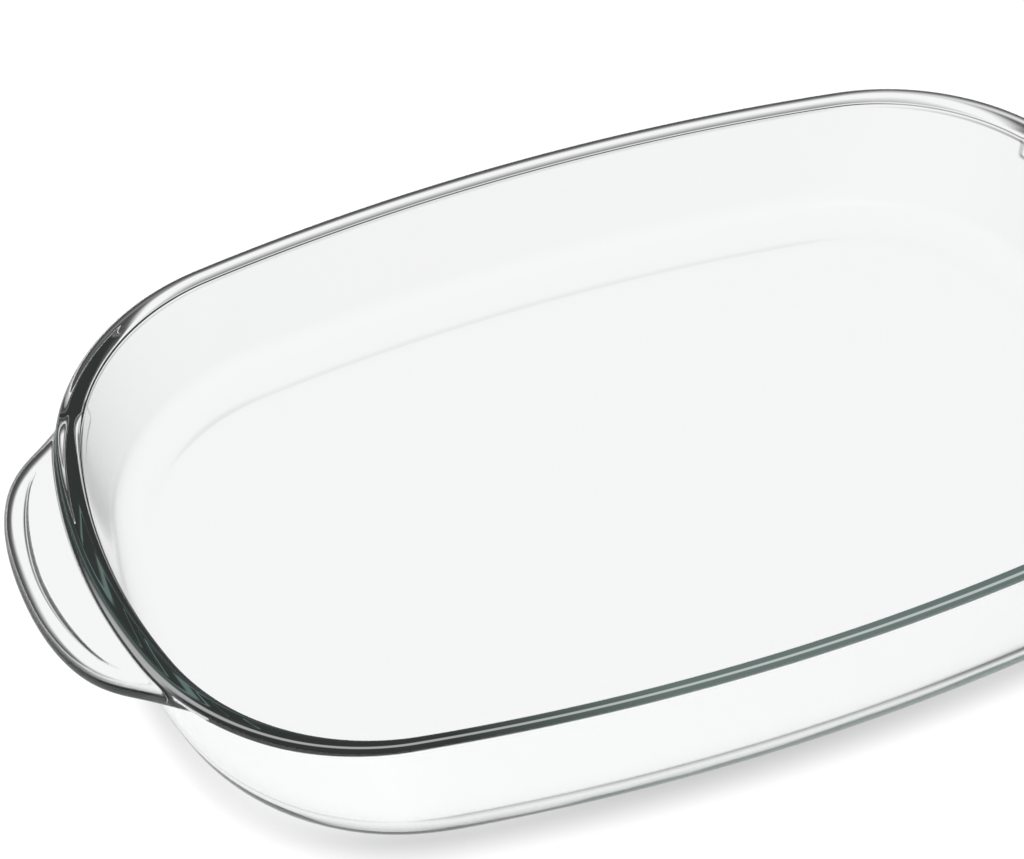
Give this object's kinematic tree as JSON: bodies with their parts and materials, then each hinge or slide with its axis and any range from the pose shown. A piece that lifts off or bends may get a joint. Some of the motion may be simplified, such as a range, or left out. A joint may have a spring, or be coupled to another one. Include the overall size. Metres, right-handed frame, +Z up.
{
  "type": "glass baking dish",
  "caption": "Clear pressed-glass baking dish: a rounded rectangle with bowed sides, drafted walls, a thick rim bead and a flat grip tab at each end.",
  "frame": {"origin": "centre of the flat underside", "axes": "+X along the length, from the left grip to the right grip; +Y across the width; +Z up through the open top"},
  "size_m": [0.388, 0.2186, 0.055],
  "materials": {
    "glass": "clear polished, heat-resistant"
  },
  "bodies": {
    "root": {"base_panel": "glass", "heel_ring": "glass", "side_wall": "glass", "rim_bead": "glass", "left_grip": "glass", "right_grip": "glass"}
  },
  "joints": []
}
